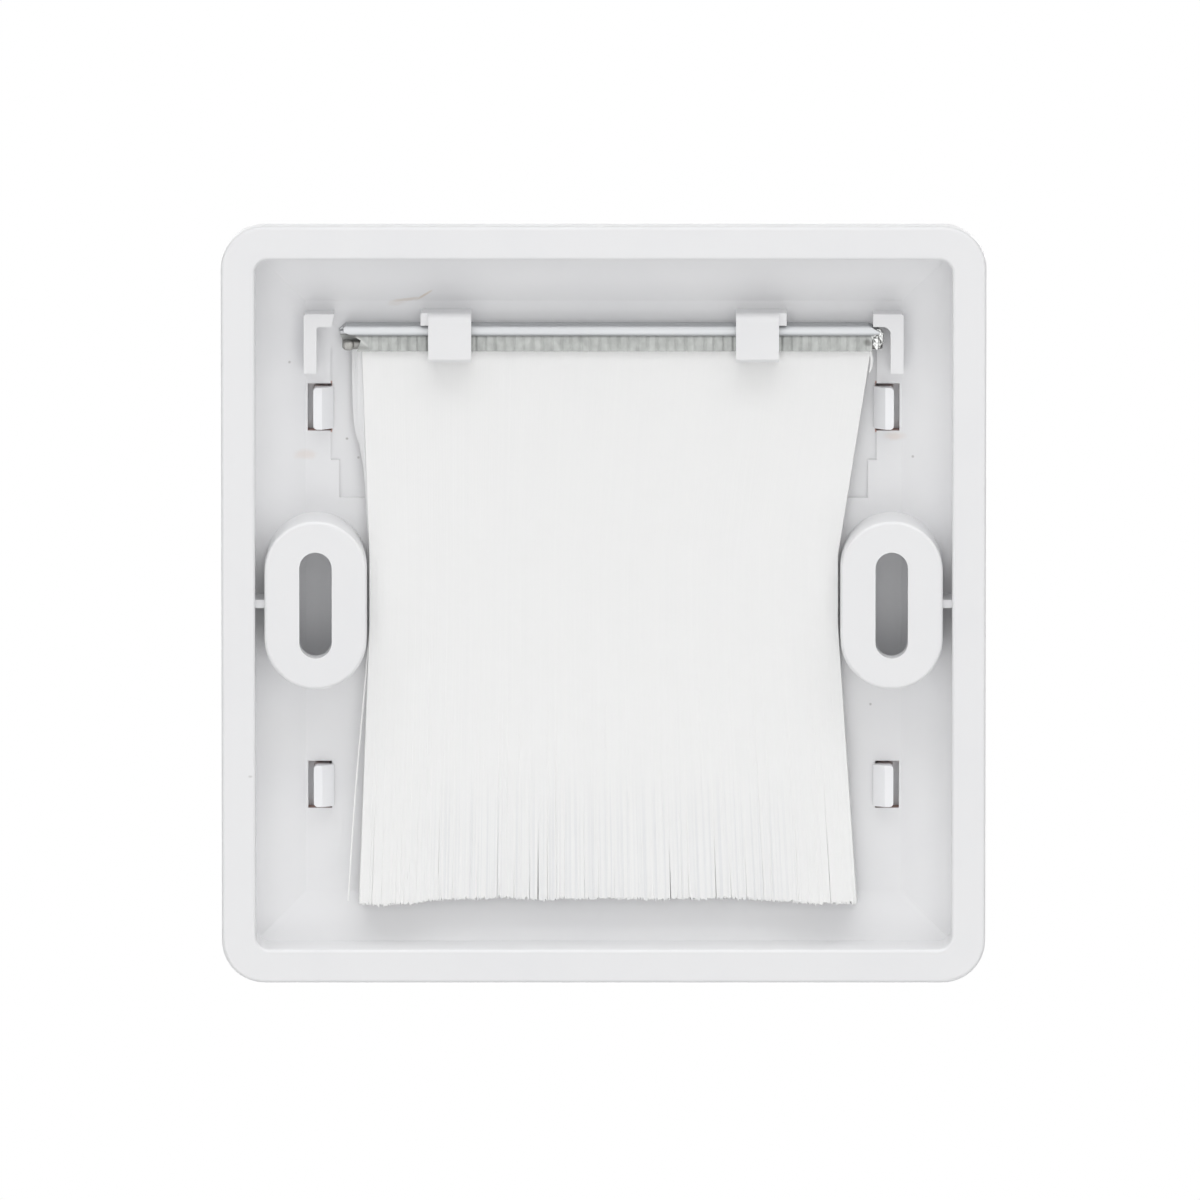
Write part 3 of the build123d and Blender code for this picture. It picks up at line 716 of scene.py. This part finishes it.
# %% [markdown]
# ## The ends of the channel
#
# A strip brush is cut to length with a shear. At one end the steel is torn into a small bright burr, crumpled
# round the wire. At the other it is rolled round the wire's end into a dull stub. Both are small lumps: a fine
# ball, drawn out to the size seen, its surface pushed in and out by noise. The burr's facets stay flat, so each
# throws its own spark of light.

# %% Burr and rolled end
def cut_finish(name, dark, light, rough):
    material, start, place = new_finish(name)
    patch = grain(place, 2600.0, 3.0, 0.7)
    colour = blend(dark, light, patch.step(0.4, 0.6))
    return finish_off(material, start, colour, rough + 0.2 * patch, patch, 0.03, Metallic=1.0)


def lump(name, centre, half_size, waves, push, square, flat, finish):
    """Closed lump: a ball squared off by a power below 1 and roughened by noise."""
    form = bmesh.new()
    bmesh.ops.create_icosphere(form, subdivisions=4, radius=1.0)
    for vert in form.verts:
        way = Vector(vert.co)
        bump = noise.noise(way * waves) + 0.5 * noise.noise(way * waves * 2.3)
        boxed = [math.copysign(abs(v) ** square, v) for v in way]
        vert.co = [(c + s * v * (1.0 + push * bump)) * MM for c, s, v in zip(centre, half_size, boxed)]
    mesh = bpy.data.meshes.new(name)
    form.to_mesh(mesh)
    form.free()
    if not flat:
        mesh.shade_smooth()
    mesh.materials.append(finish)
    piece = bpy.data.objects.new(name, mesh)
    bpy.context.scene.collection.objects.link(piece)
    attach(piece, "root")
    print(name, "has", len(mesh.polygons), "faces")


torn = cut_finish("torn_steel", (0.14, 0.14, 0.135, 1.0), (0.68, 0.69, 0.68, 1.0), 0.26)
rolled = cut_finish("rolled_steel", (0.33, 0.325, 0.31, 1.0), (0.42, 0.415, 0.40, 1.0), 0.58)
lump("torn_burr", (-28.66, -4.75, 27.50), (0.58, 0.50, 0.95), 2.6, 0.42, 0.9, True, torn)
lump("rolled_end", (26.72, -5.20, 26.80), (0.60, 0.60, 0.54), 1.2, 0.06, 0.72, False, rolled)

# %% [markdown]
# ## Floor and light
#
# The photo has a plain white background and very soft light, strongest from above. A pale floor lies well below
# the plate and sends light back up. Its white is what the camera and the glossy rays see, while the grey that
# sends light on stays at a plain level, so white plastic doesn't wash out.

# %% Floor
def plainly_seen(start):
    """1 for rays from the camera, in a mirror or through glass, 0 for those that carry light."""
    path = start.node("ShaderNodeLightPath").socket.node
    seen = Flow(start.tree, path.outputs["Is Camera Ray"])
    for name in ("Is Glossy Ray", "Is Transmission Ray"):
        seen = seen.math("MAXIMUM", Flow(start.tree, path.outputs[name]))
    return seen


def floor_finish():
    material = bpy.data.materials.new("studio_floor")
    material.use_nodes = True
    material.node_tree.nodes.clear()
    start = Flow(material.node_tree)
    pale = start.node("ShaderNodeBsdfDiffuse", sockets={"Color": (0.82, 0.82, 0.82, 1.0)})
    white = start.node("ShaderNodeEmission", sockets={"Color": (1.0, 1.0, 1.0, 1.0), "Strength": 1.0})
    surface = start.node("ShaderNodeMixShader", sockets={0: plainly_seen(start), 1: pale, 2: white})
    output = start.tree.nodes.new("ShaderNodeOutputMaterial")
    start.tree.links.new(surface.socket, output.inputs["Surface"])
    return material


FLOOR_DROP = 1100 * MM
shape = bpy.data.meshes.new("floor")
form = bmesh.new()
bmesh.ops.create_grid(form, x_segments=1, y_segments=1, size=3.0)
bmesh.ops.translate(form, verts=form.verts, vec=(0.0, 0.0, -FLOOR_DROP))
form.to_mesh(shape)
form.free()
shape.materials.append(floor_finish())
floor = bpy.data.objects.new("floor", shape)
bpy.context.scene.collection.objects.link(floor)

# %% [markdown]
# The sky works like the floor: white where it is seen, and much dimmer where it only lights the plate. One dim
# sky alone would leave no shadows, so most of the light comes from the lamps that follow.

# %% Sky
SKY = 0.12
world = bpy.data.worlds.new("studio")
bpy.context.scene.world = world
world.use_nodes = True
world.node_tree.nodes.clear()
start = Flow(world.node_tree)
strength = SKY + (1.0 - SKY) * plainly_seen(start)
sky = start.node("ShaderNodeBackground", sockets={"Color": (1.0, 1.0, 1.0, 1.0), "Strength": strength})
output = start.tree.nodes.new("ShaderNodeOutputWorld")
start.tree.links.new(sky.socket, output.inputs["Surface"])
print("sky strength", SKY)

# %% [markdown]
# Seven wide panels stand about a metre from the plate. On the side that the photo shows, the two above and the one
# in front do most of the work, since its light comes mostly from above. Two at the sides and one from below fill
# the shadows. The last lights the side that faces the room, which the photo doesn't show, and stands low so that it
# adds little to the top. A bare bulb would be simpler, but it would draw hard shadows that the photo doesn't have.

# %% Lamps
def soft_lamp(name, place, width, height, power):
    """A wide panel that faces the plate; place and size are in metres and power in watts."""
    lamp = bpy.data.lights.new(name, "AREA")
    lamp.shape = "RECTANGLE"
    lamp.size = width
    lamp.size_y = height
    lamp.energy = power
    body = bpy.data.objects.new(name, lamp)
    bpy.context.scene.collection.objects.link(body)
    body.location = place
    body.rotation_euler = (-Vector(place)).to_track_quat("-Z", "Y").to_euler()
    print("lamp", name, power, "W")


soft_lamp("top_panel", (0.0, 0.30, 0.95), 1.4, 0.6, 5.4)
soft_lamp("high_front_panel", (0.0, 0.62, 0.78), 1.4, 0.7, 2.8)
soft_lamp("front_panel", (0.0, 1.0, 0.0), 1.0, 1.0, 3.6)
soft_lamp("left_panel", (0.9, 0.35, 0.1), 0.8, 0.8, 1.5)
soft_lamp("right_panel", (-0.9, 0.35, 0.1), 0.8, 0.8, 1.5)
soft_lamp("low_panel", (0.0, 0.75, -0.65), 1.6, 0.9, 3.8)
soft_lamp("room_side_panel", (0.0, -1.0, -0.25), 1.2, 1.0, 8.5)
